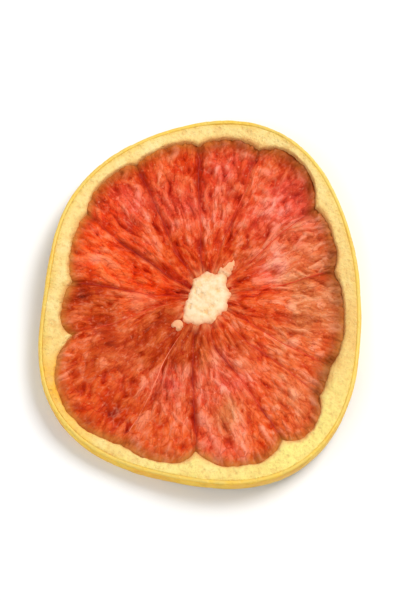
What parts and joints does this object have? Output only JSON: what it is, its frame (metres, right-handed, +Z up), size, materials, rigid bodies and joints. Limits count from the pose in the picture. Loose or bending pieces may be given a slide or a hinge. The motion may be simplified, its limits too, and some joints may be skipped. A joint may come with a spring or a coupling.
{
  "type": "dried grapefruit slice",
  "caption": "Round cross-cut slice of dried red grapefruit with raised pale peel, sunken wrinkled flesh in wedge segments and a pith centre, slightly curled.",
  "frame": {"origin": "under the middle of the slice, at the level of the surface it rests on", "axes": "+Z up out of the face that shows, +Y along the slice's longer way, +X across it"},
  "size_m": [0.07, 0.0832, 0.0075],
  "materials": {
    "flesh": "dried juice sacs, pink-red, slightly sticky sheen",
    "peel": "dry white of the peel turned cream-yellow, with a thin golden rind",
    "pith": "dry spongy cream pith, matt",
    "skin": "thin dried skins between the segments, dark red"
  },
  "bodies": {
    "root": {"slice": "flesh"}
  },
  "joints": []
}
